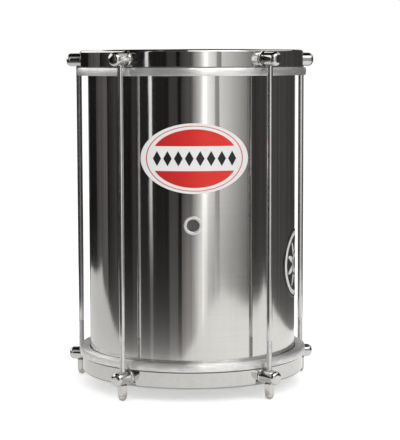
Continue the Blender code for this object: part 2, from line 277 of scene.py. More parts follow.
def end_word(end):
    """The word for an end of the drum in the names of nodes, bodies and pieces."""
    return "top" if end == TOP else "bottom"


def end_levels(node, end):
    """A node's levels towards the drum's middle and towards its end, as if it were at the top end."""
    low, high = levels(node)
    return (low, high) if end == TOP else (-high, -low)


def facing(profile, end):
    """A profile drawn for the top end of the drum, turned over for the bottom end."""
    if end == TOP:
        return profile
    return [(radius, -height) for radius, height in reversed(profile)]


# Meshes

def add_object(name, data):
    """An object in the scene."""
    item = bpy.data.objects.new(name, data)
    bpy.context.scene.collection.objects.link(item)
    return item


def new_piece(name, work):
    """Makes an object of a bmesh, shaded smooth except at its sharp edges."""
    bmesh.ops.remove_doubles(work, verts=work.verts, dist=MERGE)
    bmesh.ops.recalc_face_normals(work, faces=work.faces)
    mesh = bpy.data.meshes.new(name)
    work.to_mesh(mesh)
    work.free()
    mesh.shade_smooth()
    mesh.set_sharp_from_angle(angle=SHARP)
    return add_object(name, mesh)


def turned(name, profile, steps):
    """A profile of (radius, height) points spun about Z. It is closed if it stays off the axis."""
    work = bmesh.new()
    verts = [work.verts.new((radius, 0, height)) for radius, height in profile]
    edges = [work.edges.new(pair) for pair in zip(verts, verts[1:])]
    if min(profile)[0] > 0:
        edges.append(work.edges.new((verts[-1], verts[0])))
    bmesh.ops.spin(work, geom=verts + edges, cent=(0, 0, 0), axis=(0, 0, 1), dvec=(0, 0, 0),
                   angle=2 * pi, steps=steps, use_merge=True, use_duplicate=False)
    return new_piece(name, work)


def rod_cutter(name, radius, low, high, steps):
    """A cylinder about Z, for cutting."""
    return turned(name, [(0, high), (radius, high), (radius, low), (0, low)], steps)


def join_rows(work, grid):
    """Faces from row to row of a grid whose rows are closed."""
    for low_row, high_row in zip(grid, grid[1:]):
        for step in range(len(low_row)):
            following = (step + 1) % len(low_row)
            work.faces.new((low_row[step], low_row[following], high_row[following], high_row[step]))


def combine(piece, cutter, operation):
    """Cuts a piece by another shape, or keeps what both share, and removes the other shape."""
    boolean = piece.modifiers.new(operation.capitalize(), "BOOLEAN")
    boolean.operation = operation
    boolean.solver = "EXACT"
    boolean.object = cutter
    bpy.context.view_layer.update()
    evaluated = piece.evaluated_get(bpy.context.evaluated_depsgraph_get())
    mesh = bpy.data.meshes.new_from_object(evaluated)
    piece.modifiers.clear()
    piece.data = mesh
    mesh.set_sharp_from_angle(angle=SHARP)
    bpy.data.objects.remove(cutter, do_unlink=True)


def outward_frame(place):
    """A frame at a point whose Z points away from the drum's axis."""
    angle = atan2(place.y, place.x)
    turn = Matrix.Rotation(angle, 4, "Z") @ Matrix.Rotation(pi / 2, 4, "Y")
    return Matrix.Translation(place) @ turn


def dress(piece, body, material, node):
    """Gives a piece its material and body, and hides the node that it stands for."""
    piece.data.materials.clear()
    piece.data.materials.append(material)
    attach(piece, body)
    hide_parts(node)


# Node helpers

class Nodes:
    """Short calls for the nodes of a tree."""

    def __init__(self, tree):
        self.tree = tree

    def node(self, kind, **settings):
        made = self.tree.nodes.new(kind)
        for key, value in settings.items():
            setattr(made, key, value)
        return made

    def feed(self, socket, value):
        """Links a socket or sets its number."""
        if isinstance(value, bpy.types.NodeSocket):
            self.tree.links.new(value, socket)
        else:
            socket.default_value = value

    def feed_all(self, made, *values):
        """Feeds a node's sockets in their order."""
        for socket, value in zip(made.inputs, values):
            self.feed(socket, value)
        return made.outputs[0]

    def math(self, operation, first, second=0.0):
        return self.feed_all(self.node("ShaderNodeMath", operation=operation), first, second)

    def add(self, first, *others):
        for other in others:
            first = self.math("ADD", first, other)
        return first

    def minus(self, first, second):
        return self.math("SUBTRACT", first, second)

    def times(self, first, second):
        return self.math("MULTIPLY", first, second)

    def size(self, value):
        return self.math("ABSOLUTE", value)

    def length(self, across, up):
        return self.math("SQRT", self.add(self.times(across, across), self.times(up, up)))


class Painter(Nodes):
    """A new material's node tree, with short calls for its textures and its shader."""

    def __init__(self, name):
        self.material = bpy.data.materials.new(name)
        self.material.use_nodes = True
        super().__init__(self.material.node_tree)
        self.shader = self.tree.nodes["Principled BSDF"]

    def shade(self, **values):
        """Sets or links the shader's inputs, their spaces written as underscores."""
        for key, value in values.items():
            self.feed(self.shader.inputs[key.replace("_", " ")], value)

    def surface(self, shader):
        """Shows another shader in place of the material's own."""
        self.feed(self.tree.nodes["Material Output"].inputs["Surface"], shader)

    def light(self, tint, strength):
        return self.feed_all(self.node("ShaderNodeEmission"), tint, strength)

    def place(self):
        """The position in the object's own frame."""
        return self.node("ShaderNodeTexCoord").outputs["Object"]

    def split(self, vector):
        made = self.node("ShaderNodeSeparateXYZ")
        self.feed(made.inputs[0], vector)
        return made.outputs

    def from_axis(self, vector):
        """The distance from the Z axis."""
        parts = self.split(vector)
        return self.length(parts["X"], parts["Y"])

    def azimuth(self, vector):
        """The angle round the Z axis from the front, in radians."""
        parts = self.split(vector)
        return self.math("ARCTAN2", parts["X"], self.times(parts["Y"], -1.0))

    def noise(self, vector, scale, detail=3.0, roughness=0.5):
        """Noise at a scale per metre, one for all directions or one for each axis."""
        if isinstance(scale, tuple):
            stretch = self.node("ShaderNodeVectorMath", operation="MULTIPLY")
            vector = self.feed_all(stretch, vector, scale)
            scale = 1.0
        made = self.node("ShaderNodeTexNoise")
        self.feed(made.inputs["Vector"], vector)
        made.inputs["Scale"].default_value = scale
        made.inputs["Detail"].default_value = detail
        made.inputs["Roughness"].default_value = roughness
        return made.outputs["Fac"]

    def spread(self, value, low, high, new_low=0.0, new_high=1.0, course="LINEAR"):
        """Maps low..high to new_low..new_high, clamped."""
        made = self.node("ShaderNodeMapRange", interpolation_type=course)
        return self.feed_all(made, value, low, high, new_low, new_high)

    def blend(self, share, first, second):
        """The first colour where share is 0, the second where it is 1."""
        made = self.node("ShaderNodeMix", data_type="RGBA")
        self.feed(made.inputs["Factor"], share)
        self.feed(made.inputs["A"], first)
        self.feed(made.inputs["B"], second)
        return made.outputs["Result"]

    def bump(self, height, distance, strength=1.0):
        made = self.node("ShaderNodeBump")
        made.inputs["Strength"].default_value = strength
        made.inputs["Distance"].default_value = distance
        self.feed(made.inputs["Height"], height)
        return made.outputs["Normal"]

    def pits(self, here, scale):
        """The normal of a surface with tiny pits."""
        return self.bump(self.noise(here, scale, 2.0), 0.006 * MM, 0.4)

    def tangent(self):
        """The direction around the object's Z axis."""
        return self.node("ShaderNodeTangent", direction_type="RADIAL", axis="Z").outputs[0]


def colour(red, green, blue):
    """An opaque colour."""
    return (red, green, blue, 1.0)


def grey(value):
    """A neutral colour."""
    return colour(value, value, value)


# Materials

def polished_aluminium():
    """Rolled sheet: fine lines around the shell over faint upright smears, and a few handling marks.

    The metal ripples and dents a little, and puckers near the top. Inside it has the mill's dull skin.
    """
    paint = Painter("polished_aluminium")
    here = paint.place()
    lines = paint.noise(here, (3, 3, 2600), 2.0)
    smears = paint.noise(here, (110, 110, 5), 4.0, 0.6)
    marks = paint.noise(here, (26, 26, 19), 6.0, 0.65)
    strokes = paint.noise(here, (5, 5, 520), 2.0, 0.6)
    ripples = paint.noise(here, (48, 48, 4), 2.0, 0.5)
    dents = paint.noise(here, (10, 10, 3), 2.0, 0.4)
    creases = paint.noise(here, (34, 34, 14), 2.0, 0.4)
    away = paint.from_axis(here)
    mill = paint.spread(away, SHELL_RADIUS - MILL_DEPTH, SHELL_RADIUS - POLISH_DEPTH, 1.0, 0.0)
    dull = paint.add(paint.spread(lines, 0.3, 0.7, 0.0, 0.03), paint.spread(smears, 0.35, 0.7, 0.0, 0.015))
    polish = paint.add(dull, paint.spread(marks, 0.55, 0.8, 0.0, 0.04), 0.07)
    up = paint.split(here)["Z"]
    near_top = paint.spread(up, SHELL_HIGH - PUCKERS_START, SHELL_HIGH - PUCKERS_FULL, 0.0, 0.5)
    form = paint.add(paint.times(ripples, 0.12), paint.times(dents, 0.20))
    height = paint.add(paint.times(creases, near_top), form, paint.times(lines, 0.0012))
    worn = paint.add(paint.times(smears, 0.5), paint.spread(strokes, 0.3, 0.7, 0.0, 0.22))
    bright = paint.blend(worn, colour(0.76, 0.755, 0.745), colour(0.68, 0.67, 0.66))
    paint.shade(Base_Color=paint.blend(mill, bright, grey(0.86)),
                Metallic=paint.spread(mill, 0.0, 1.0, 1.0, 0.1),
                Roughness=paint.add(polish, paint.times(mill, 0.35)),
                Anisotropic=0.6, Anisotropic_Rotation=0.25, Tangent=paint.tangent(),
                Normal=paint.bump(height, 1.0 * MM))
    return paint.material


def chrome(name, bright, roughness, line_scale):
    """Bright plating with faint turning lines, smudges and tiny pits."""
    paint = Painter(name)
    here = paint.place()
    lines = paint.noise(here, line_scale, 2.0)
    smudge = paint.noise(here, 90.0, 5.0, 0.6)
    dull = tuple(channel * 0.95 for channel in bright)
    paint.shade(Base_Color=paint.blend(paint.spread(smudge, 0.4, 0.8), colour(*bright), colour(*dull)),
                Metallic=1.0,
                Roughness=paint.add(paint.spread(smudge, 0.45, 0.75, roughness, roughness + 0.06),
                                    paint.spread(lines, 0.45, 0.8, 0.0, 0.02)),
                Normal=paint.pits(here, 1400.0))
    return paint.material


def band_steel():
    """Bright plating with faint lines around the hoop, and painted shade along the joint with the flesh hoop.
    """
    paint = Painter("chromed_steel")
    here = paint.place()
    up = paint.split(here)["Z"]
    lines = paint.noise(here, (2, 2, 1600), 2.0)
    smudge = paint.noise(here, 90.0, 5.0, 0.6)
    # The dark, dull line along each joint with the flesh hoop is painted shade
    from_top = paint.size(paint.minus(up, TOP_JOINT))
    from_bottom = paint.minus(paint.size(paint.minus(up, BOTTOM_JOINT)), LOWER_JOINT_SHADE_EXTRA)
    from_joint = paint.add(paint.math("MINIMUM", from_top, from_bottom), paint.times(smudge, JOINT_SHADE_WAVER))
    joint_shade = paint.spread(from_joint, JOINT_SHADE_WIDTH, JOINT_SHADE_WIDTH + JOINT_SHADE_FADE, 1.0, 0.0)
    plate = paint.blend(paint.spread(smudge, 0.4, 0.8), colour(0.68, 0.68, 0.67), colour(0.64, 0.64, 0.63))
    paint.shade(Base_Color=paint.blend(joint_shade, plate, grey(0.10)),
                Metallic=paint.spread(joint_shade, 0.0, 1.0, 1.0, 0.2),
                Roughness=paint.add(paint.spread(smudge, 0.45, 0.75, 0.05, 0.11), paint.times(joint_shade, 0.4),
                                    paint.spread(lines, 0.45, 0.8, 0.0, 0.02)),
                Normal=paint.pits(here, 1400.0))
    return paint.material


def grommet_brass():
    """Plated brass with a soft shine, dulled by handling."""
    paint = Painter("chromed_brass")
    here = paint.place()
    smudge = paint.noise(here, 300.0, 5.0, 0.6)
    paint.shade(Base_Color=paint.blend(paint.spread(smudge, 0.4, 0.8), colour(0.92, 0.915, 0.90),
                                       colour(0.82, 0.81, 0.79)),
                Metallic=0.6, Roughness=paint.spread(smudge, 0.4, 0.8, 0.20, 0.32),
                Normal=paint.pits(here, 1800.0))
    return paint.material


def satin_aluminium():
    """Rolled ring: mottled satin with short scuffs around it."""
    paint = Painter("satin_aluminium")
    here = paint.place()
    scuffs = paint.noise(here, (40, 40, 900), 3.0, 0.6)
    mottle = paint.noise(here, (60, 60, 200), 4.0, 0.6)
    shade = paint.spread(paint.times(scuffs, mottle), 0.14, 0.38)
    paint.shade(Base_Color=paint.blend(shade, grey(0.99), grey(0.77)),
                Metallic=0.8, Roughness=paint.spread(mottle, 0.33, 0.67, 0.28, 0.44),
                Anisotropic=0.9, Anisotropic_Rotation=0.25, Tangent=paint.tangent(),
                Normal=paint.bump(scuffs, 0.002 * MM, 0.5))
    return paint.material


def plated_rod():
    """Bright zinc, drawn lengthwise, greyer where it has been handled and down in the thread."""
    paint = Painter("plated_rod")
    here = paint.place()
    lines = paint.noise(here, (2600, 2600, 8), 2.0)
    blotch = paint.noise(here, 55.0, 5.0, 0.6)
    away = paint.from_axis(here)
    root = paint.spread(away, ROD_RADIUS - THREAD_DEPTH, ROD_RADIUS - THREAD_DEPTH / 4, 1.0, 0.0)
    bright = paint.blend(paint.spread(blotch, 0.4, 0.75), grey(0.76), grey(0.64))
    thread = paint.spread(paint.split(here)["Z"], THREAD_LENGTH - THREAD_PITCH, THREAD_LENGTH, 1.0, 0.0)
    paint.shade(Base_Color=paint.blend(root, bright, grey(0.66)),
                Metallic=paint.spread(thread, 0.0, 1.0, 1.0, 0.45),
                Roughness=paint.add(paint.spread(lines, 0.4, 0.7, 0.12, 0.20), paint.times(root, 0.2)),
                Normal=paint.bump(lines, 0.004 * MM, 0.4))
    return paint.material


def head_film():
    """Milky polyester film with a fine frosted grain and faint worn patches where it is played."""
    paint = Painter("head_film")
    here = paint.place()
    grain = paint.noise(here, 2200.0, 2.0)
    cloud = paint.noise(here, 14.0, 5.0, 0.6)
    worn = paint.noise(here, (30, 30, 1), 6.0, 0.7)
    milky = paint.blend(paint.spread(cloud, 0.3, 0.75), colour(0.87, 0.87, 0.845), colour(0.82, 0.82, 0.785))
    rubbed = paint.spread(worn, 0.58, 0.8, 0.0, 0.35)
    paint.shade(Base_Color=paint.blend(rubbed, milky, colour(0.70, 0.70, 0.67)),
                Roughness=paint.spread(cloud, 0.3, 0.7, 0.38, 0.55), Transmission_Weight=0.55, IOR=1.3,
                Normal=paint.bump(grain, 0.03 * MM, 0.7))
    return paint.material


def plate_place(paint, node):
    """Coordinates on a bent plate: across and up from its middle, in metres."""
    centre = middle(node)
    here = paint.place()
    turn = paint.minus(paint.azimuth(here), atan2(centre.x, -centre.y))
    return paint.times(turn, SHELL_RADIUS), paint.minus(paint.split(here)["Z"], centre.z)


def inside(paint, distance, edge, blur=PRINT_BLUR):
    """1 where a distance is under edge, 0 beyond it."""
    return paint.spread(distance, edge - blur, edge + blur, 1.0, 0.0)


def ring(paint, distance, inner, outer, blur=PRINT_BLUR):
    """1 between two distances, 0 elsewhere."""
    return paint.minus(inside(paint, distance, outer, blur), inside(paint, distance, inner, blur))


def badge_enamel():
    """Printed oval badge: red border and fields above and below, and a row of dark lozenges on white."""
    paint = Painter("badge_enamel")
    across, up = plate_place(paint, "badge")
    wide = BADGE_WIDTH / 2
    far = paint.length(paint.math("DIVIDE", across, wide), paint.math("DIVIDE", up, BADGE_HEIGHT / 2))
    worn = paint.noise(paint.place(), 240.0, 6.0, 0.7)
    white = paint.blend(paint.spread(worn, 0.45, 0.8), colour(0.84, 0.835, 0.82), colour(0.80, 0.79, 0.77))
    # The red is painted darker towards the left: painted shade
    painted_shade_red = colour(0.50, 0.012, 0.014)
    red = paint.blend(paint.spread(across, -wide, wide), painted_shade_red, colour(0.83, 0.045, 0.03))
    beyond_stripe = paint.minus(1.0, inside(paint, paint.size(up), BADGE_STRIPE / 2))
    fields = paint.times(inside(paint, far, BADGE_FIELD, BADGE_BLUR), beyond_stripe)
    rim = ring(paint, far, BADGE_RIM - BADGE_LINE, BADGE_RIM, BADGE_BLUR)
    printed = paint.blend(paint.add(fields, rim), white, red)
    from_lozenge = paint.minus(paint.math("PINGPONG", across, LOZENGE_STEP / 2), LOZENGE_STEP / 2)
    lozenge = paint.add(paint.math("DIVIDE", paint.size(from_lozenge), LOZENGE_WIDTH / 2),
                        paint.math("DIVIDE", paint.size(up), LOZENGE_HEIGHT / 2))
    along_row = inside(paint, paint.size(across), LOZENGE_ROW / 2)
    row = paint.times(inside(paint, lozenge, 1.0, LOZENGE_BLUR), along_row)
    paint.shade(Base_Color=paint.blend(row, printed, colour(0.018, 0.018, 0.02)),
                Roughness=paint.spread(worn, 0.4, 0.75, 0.28, 0.36),
                Coat_Weight=0.12, Coat_Roughness=0.12, Specular_IOR_Level=0.25)
    return paint.material


def decal_film():
    """Printed round decal: dark field, white rings and a ring of white wedges."""
    paint = Painter("decal_film")
    across, up = plate_place(paint, "side_decal")
    away = paint.length(across, up)
    turn = paint.math("ARCTAN2", up, across)
    dust = paint.noise(paint.place(), 300.0, 5.0, 0.7)
    radius = DECAL_DIAMETER / 2
    rim, hub, band = (ring(paint, away, radius * inner, radius * outer)
                      for inner, outer in (DECAL_RIM, DECAL_HUB, DECAL_BLADES))
    from_wedge = paint.math("PINGPONG", turn, pi / DECAL_WEDGES)
    wedge = paint.spread(away, radius * WEDGE_RANGE[0], radius * WEDGE_RANGE[1], *WEDGE_WIDTHS)
    wedges = paint.math("LESS_THAN", from_wedge, paint.times(wedge, 2 * pi / DECAL_WEDGES))
    shown = paint.math("MAXIMUM", paint.math("MAXIMUM", rim, hub), paint.times(wedges, band))
    white = paint.blend(paint.spread(dust, 0.4, 0.8), colour(0.90, 0.90, 0.89), colour(0.78, 0.78, 0.77))
    paint.shade(Base_Color=paint.blend(shown, colour(0.03, 0.03, 0.032), white),
                Roughness=paint.spread(dust, 0.4, 0.8, 0.28, 0.42), Coat_Weight=0.3, Coat_Roughness=0.1)
    return paint.material


# Shell, vent, badge and decal

def make_shell(material):
    """The shell with its curled bearing edges and the vent hole, and rows of corners beside the hole."""
    top = (SHELL_RADIUS - CURL_RADIUS, SHELL_HIGH - CURL_RADIUS)
    bottom = (SHELL_RADIUS - CURL_RADIUS, SHELL_LOW + CURL_RADIUS)
    rows = [top[1] - FLAT_STARTS]
    rows += [VENT.z + row * VENT_ROW for row in range(VENT_ROWS, -VENT_ROWS - 1, -1)]
    rows += [bottom[1] + FLAT_STARTS]
    inner = CURL_RADIUS - SHELL_WALL
    profile = arc(top, CURL_RADIUS, CURL_TURN, 0, CURL_STEPS)
    profile += [(SHELL_RADIUS, row) for row in rows]
    profile += arc(bottom, CURL_RADIUS, 0, -CURL_TURN, CURL_STEPS)
    profile += arc(bottom, inner, -CURL_TURN, 0, INNER_CURL_STEPS)
    profile += [(SHELL_RADIUS - SHELL_WALL, row) for row in reversed(rows)]
    profile += arc(top, inner, 0, CURL_TURN, INNER_CURL_STEPS)
    shell = turned("polished_shell", profile, RING_STEPS)
    hole = VENT_RADIUS + EYELET_WALL + SEAT_GAP
    cutter = rod_cutter("vent_cutter", hole, -VENT_CUT, VENT_CUT, BARREL_STEPS)
    cutter.matrix_world = outward_frame(vent_seat())
    combine(shell, cutter, "DIFFERENCE")
    dress(shell, "shell", material, "shell")


def vent_seat():
    """The point of the shell's outside at the middle of the vent."""
    flat = Vector((VENT.x, VENT.y, 0)).normalized() * SHELL_RADIUS
    return Vector((flat.x, flat.y, VENT.z))


def make_eyelet(material):
    """The vent's grommet: rounded flange outside, short tube, rolled flange inside."""
    tube = VENT_RADIUS + EYELET_WALL
    flange = tube + EYELET_FLANGE
    low = SEAT_GAP
    high = low + EYELET_THICKNESS
    back = sqrt((SHELL_RADIUS - SHELL_WALL) ** 2 - flange ** 2) - SEAT_GAP - SHELL_RADIUS
    base = back - EYELET_THICKNESS
    profile = filleted([
        (VENT_RADIUS, high, EYELET_LIP_ROUND),
        (flange, high, EYELET_ROUND),
        (flange, low, EYELET_RIM),
        (tube, low, 0),
        (tube, back, 0),
        (flange, back, EYELET_RIM),
        (flange, base, EYELET_ROUND),
        (VENT_RADIUS, base, EYELET_LIP_ROUND),
    ])
    eyelet = turned("vent_grommet", profile, BARREL_STEPS)
    eyelet.data.transform(outward_frame(vent_seat()))
    dress(eyelet, "shell", material, "vent_eyelet")


def make_plate(name, node, width, height, material):
    """A thin oval plate with a rounded edge, bent to the shell."""
    centre = middle(node)
    start = atan2(centre.x, -centre.y)
    rings = [(step / PLATE_RINGS, 1.0) for step in range(PLATE_RINGS)]
    rings += [*PLATE_EDGE, (0.0, 0.0)]
    work = bmesh.new()
    grid = []
    for share, lift in rings:
        row = []
        for step in range(PLATE_STEPS):
            turn = 2 * pi * step / PLATE_STEPS
            across = width / 2 * share * cos(turn)
            up = height / 2 * share * sin(turn)
            angle = start + asin(across / SHELL_RADIUS)
            radius = SHELL_RADIUS + SEAT_GAP + PLATE * lift
            row.append(work.verts.new((radius * sin(angle), -radius * cos(angle), centre.z + up)))
        grid.append(row)
    join_rows(work, grid)
    dress(new_piece(name, work), "shell", material, node)


# Heads and hoops

def make_head(name, end, material):
    """A head: flat film, bent over the bearing edge, its collar down in the flesh hoop's slot."""
    node = f"{end_word(end)}_skin"
    foot, face = end_levels(node, end)
    collar = reach(node)[1]
    centre = (SHELL_RADIUS - CURL_RADIUS, face - FILM - SEAT_GAP - CURL_RADIUS)
    bend = CURL_RADIUS + SEAT_GAP
    collar_top = centre[1] - COLLAR_SLOPE
    profile = [(0, face), (SHELL_RADIUS / 2, face)] + arc(centre, bend + FILM, 90, 0, BEND_STEPS)
    profile += [(collar, collar_top), (collar, foot), (collar - FILM, foot), (collar - FILM, collar_top)]
    profile += arc(centre, bend, 0, 90, BEND_STEPS) + [(SHELL_RADIUS / 2, face - FILM), (0, face - FILM)]
    head = turned(name, facing(profile, end), RING_STEPS)
    dress(head, "shell", material, node)


def make_flesh_ring(end, material):
    """A flesh hoop: ring with a bulging outer side, a slot for the collar, a groove and a step."""
    word = end_word(end)
    node = f"{word}_flesh_hoop"
    bottom, top = end_levels(node, end)
    half = (top - bottom) / 2
    bulge = (half ** 2 + FLESH_BULGE ** 2) / (2 * FLESH_BULGE)
    swing = degrees(atan2(half, bulge - FLESH_BULGE))
    outer = FLESH_OUTER - RING_SPARE
    side = arc((outer - bulge, (top + bottom) / 2), bulge, swing, -swing, BULGE_STEPS)
    corners = [(radius, height, 0) for radius, height in side]
    corners[0] = (*side[0], FLESH_ROUND)
    corners[-1] = (*side[-1], FLESH_ROUND)
    groove = outer - GROOVE_FROM_OUTSIDE
    groove_end = groove - 2 * GROOVE_FLANK - GROOVE_FLOOR
    ledge = FLESH_INNER + STEP_FROM_INSIDE
    slot_inner = FLESH_INNER + FLESH_LIP
    slot_outer = slot_inner + FLESH_SLOT
    corners += [
        (groove, bottom, FLESH_EDGE),
        (groove - GROOVE_FLANK, bottom + GROOVE_DEPTH, FLESH_CREASE),
        (groove_end + GROOVE_FLANK, bottom + GROOVE_DEPTH, FLESH_CREASE),
        (groove_end, bottom + FLESH_RISE, FLESH_EDGE),
        (ledge, bottom + FLESH_RISE, FLESH_EDGE),
        (ledge - STEP_FLANK, bottom + STEP_RISE, FLESH_CREASE),
        (FLESH_INNER, bottom + STEP_RISE, FLESH_EDGE),
        (FLESH_INNER, top, SLOT_EDGE),
        (slot_inner, top, SLOT_EDGE),
        (slot_inner, bottom + FLESH_FLOOR, SLOT_EDGE),
        (slot_outer, bottom + FLESH_FLOOR, SLOT_EDGE),
        (slot_outer, top, SLOT_EDGE),
    ]
    hoop = turned(f"{word}_flesh_ring", facing(filleted(corners), end), RING_STEPS)
    dress(hoop, f"{word}_hoop", material, node)


def make_band(end, material):
    """A counterhoop: flat band with its outer edge rolled in, and a hole behind each lug."""
    word = end_word(end)
    node = f"{word}_hoop"
    foot, crown = end_levels(node, end)
    roll = BAND_OUTER - BAND_LIP
    centre = (BAND_LIP, crown - roll)
    inner = BAND_OUTER - BAND_WALL
    flat_top = centre[1] - FLAT_STARTS
    flat_foot = foot + 2 * FLAT_STARTS
    corners = [(*point, 0) for point in arc(centre, roll, 90, 0, ROLL_STEPS)]
    corners[0] = (*corners[0][:2], BAND_EDGE)
    corners += [
        (BAND_OUTER, flat_top, 0),
        (BAND_OUTER, flat_foot, 0),
        (BAND_OUTER, foot, BAND_EDGE),
        (inner, foot, BAND_EDGE),
        (inner, flat_foot, 0),
        (inner, flat_top, 0),
    ]
    corners += [(*point, 0) for point in arc(centre, roll - BAND_WALL, 0, 90, ROLL_STEPS)]
    corners[-1] = (*corners[-1][:2], BAND_EDGE)
    band = turned(f"{word}_band", facing(filleted(corners), end), RING_STEPS)
    for number in LUG_NUMBERS:
        cutter = rod_cutter("peg", SPIGOT_RADIUS + SEAT_GAP, -PEG_REACH, PEG_REACH, ROD_STEPS)
        cutter.matrix_world = outward_frame(lug_seat(number, end))
        combine(band, cutter, "DIFFERENCE")
    dress(band, node, material, node)


# Lugs, rods and nuts

def lug_name(number, end):
    """The node of a lug."""
    return f"{end_word(end)}_barrel_{number}"


def rod_centre(number):
    """Where a rod's axis stands."""
    centre = middle(f"rod_{number}")
    return Vector((centre.x, centre.y, 0))


def lug_seat(number, end):
    """The point on the band's outside under the middle of a lug."""
    outward = rod_centre(number).normalized() * BAND_OUTER
    return Vector((outward.x, outward.y, middle(lug_name(number, end)).z))


def lug_profile(length):
    """A lug from its rounded outer end, over its flared foot, to the peened head behind the band."""
    round_centre = (BARREL_RADIUS - BARREL_ROUND, length - BARREL_ROUND)
    profile = [(0, length)] + arc(round_centre, BARREL_ROUND, 90, 0, LUG_END_STEPS)
    straight = length - BARREL_ROUND - FOOT_EDGE - FOOT_FLARE
    profile += [(BARREL_RADIUS, round_centre[1] - straight * row / LUG_ROWS) for row in range(1, LUG_ROWS)]
    for step in range(FLARE_STEPS + 1):
        turn = step / FLARE_STEPS * pi / 2
        widen = (BARREL_FOOT - BARREL_RADIUS) * (1 - cos(turn))
        profile.append((BARREL_RADIUS + widen, FOOT_EDGE + FOOT_FLARE * (1 - sin(turn))))
    behind = -BAND_WALL - SEAT_GAP
    profile += [(BARREL_FOOT, FOOT_ROUND), (BARREL_FOOT - FOOT_ROUND, FOOT_SEAT)]
    profile += [(SPIGOT_RADIUS, FOOT_SEAT), (SPIGOT_RADIUS, behind), (PEEN_RADIUS, behind)]
    profile += [(PEEN_RADIUS * cos(turn), behind - PEEN_HEIGHT * sin(turn)) for turn in PEEN_TURNS]
    return profile + [(0, behind - PEEN_HEIGHT)]


def make_lug(number, end, material):
    """A barrel lug with its cross hole: blind in the top lugs, through and spot-faced in the bottom ones."""
    word = end_word(end)
    node = lug_name(number, end)
    seat = lug_seat(number, end)
    outward = Vector((seat.x, seat.y, 0)).normalized()
    far = max(Vector((v.co.x, v.co.y, 0)).dot(outward) for v in NODES[node].data.vertices)
    lug = turned(f"{word}_lug_{number}", lug_profile(far - BAND_OUTER - LUG_SPARE), BARREL_STEPS)
    lug.data.transform(outward_frame(seat))
    radius = ROD_RADIUS + SEAT_GAP
    deep = 2 * BARREL_RADIUS
    if end == TOP:
        stop = levels(f"rod_{number}")[1] - seat.z + SEAT_GAP
        bore = [(0, stop), (radius, stop), (radius, -deep), (0, -deep)]
    else:
        spot = nut_corner() + SEAT_GAP
        level = NUT_SEAT - BARREL_RADIUS
        bore = [(0, deep), (radius, deep), (radius, level), (spot, level), (spot, -deep), (0, -deep)]
    cutter = turned("bore", bore, ROD_STEPS)
    cutter.matrix_world = Matrix.Translation(rod_centre(number) + Vector((0, 0, seat.z)))
    combine(lug, cutter, "DIFFERENCE")
    dress(lug, f"{word}_hoop", material, node)


def make_rod(number, material):
    """A tension rod: plain shank, threaded over its lower end."""
    node = f"rod_{number}"
    low, high = levels(node)
    length = high - low
    row_height = THREAD_PITCH / THREAD_ROWS
    shank = length - ROD_CHAMFER - THREAD_LENGTH
    heights = [row * row_height for row in range(ceil(THREAD_LENGTH / row_height) + 1)]
    heights += [THREAD_LENGTH + shank * row / SHANK_ROWS for row in range(1, SHANK_ROWS + 1)]
    heights.append(length)
    work = bmesh.new()
    grid = []
    for height in heights:
        row = []
        for step in range(ROD_STEPS):
            turn = 2 * pi * step / ROD_STEPS
            radius = rod_surface(height, turn, length)
            row.append(work.verts.new((radius * cos(turn), radius * sin(turn), height)))
        grid.append(row)
    join_rows(work, grid)
    work.faces.new(grid[0])
    work.faces.new(grid[-1])
    rod = new_piece(f"threaded_rod_{number}", work)
    rod.location = rod_centre(number) + Vector((0, 0, low))
    dress(rod, "top_hoop", material, node)


def rod_surface(height, turn, length):
    """The rod's radius at a height and angle: chamfered ends, a thread that runs out into the shank."""
    chamfer = max(0.0, ROD_CHAMFER - height, height - (length - ROD_CHAMFER))
    phase = (height / THREAD_PITCH + turn / (2 * pi)) % 1
    groove = 1 - abs(2 * phase - 1)
    runout = min(1.0, max(0.0, (THREAD_LENGTH - height) / (2 * THREAD_PITCH)))
    return ROD_RADIUS - max(chamfer, THREAD_DEPTH * groove * runout)


def nut_corner():
    """The radius through the hexagon's corners."""
    return NUT_ACROSS_FLATS / 2 / cos(pi / 6)


def make_nut(number, material):
    """A domed nut: hexagon with a chamfered seat, neck and dome, bored from above."""
    node = f"nut_{number}"
    low, high = levels(node)
    length = high - low
    corner = nut_corner()
    blank = corner + SEAT_GAP
    bore = ROD_RADIUS + SEAT_GAP
    dome = NUT_ACROSS_FLATS / 2 - NUT_NECK / 2
    dome_top = NUT_DOME - length
    profile = [
        (0, -NUT_BORE - bore / 2),
        (bore, -NUT_BORE),
        (bore, -BORE_CHAMFER),
        (bore + BORE_CHAMFER, 0),
        (corner - NUT_CHAMFER, 0),
        (blank, -NUT_CHAMFER),
        (blank, dome_top + NUT_CORNERS_END),
        (dome + NUT_SHOULDER, dome_top + NUT_FACES_END),
        (dome - NUT_NECK, dome_top + NUT_NECK),
        (dome - NUT_NECK, dome_top + NUT_NECK / 2),
        (dome, dome_top),
    ]
    profile += arc((0, dome - length), dome, 0, -NUT_DOME_TURN, DOME_STEPS)
    profile += [(NUT_TIP_RADIUS, -length), (0, -length)]
    nut = turned(f"domed_nut_{number}", profile, NUT_STEPS)
    hexagon = bmesh.new()
    bmesh.ops.create_cone(hexagon, cap_ends=True, segments=6, radius1=corner, radius2=corner,
                          depth=HEXAGON_LENGTHS * length)
    combine(nut, new_piece("hexagon", hexagon), "INTERSECT")
    nut.matrix_world = Matrix.Translation(rod_centre(number) + Vector((0, 0, high)))
    dress(nut, node, material, node)


# Studio

CAMERA_PLACE = Vector((0.0, -2.2541, -0.0109))
CAMERA_YAW = radians(0.298)
CAMERA_PITCH = radians(5.805)
CAMERA_ROLL = radians(-0.153)
CAMERA_LENS = 125.8
CAMERA_SENSOR = 36.0
CAMERA_REACH = 100.0

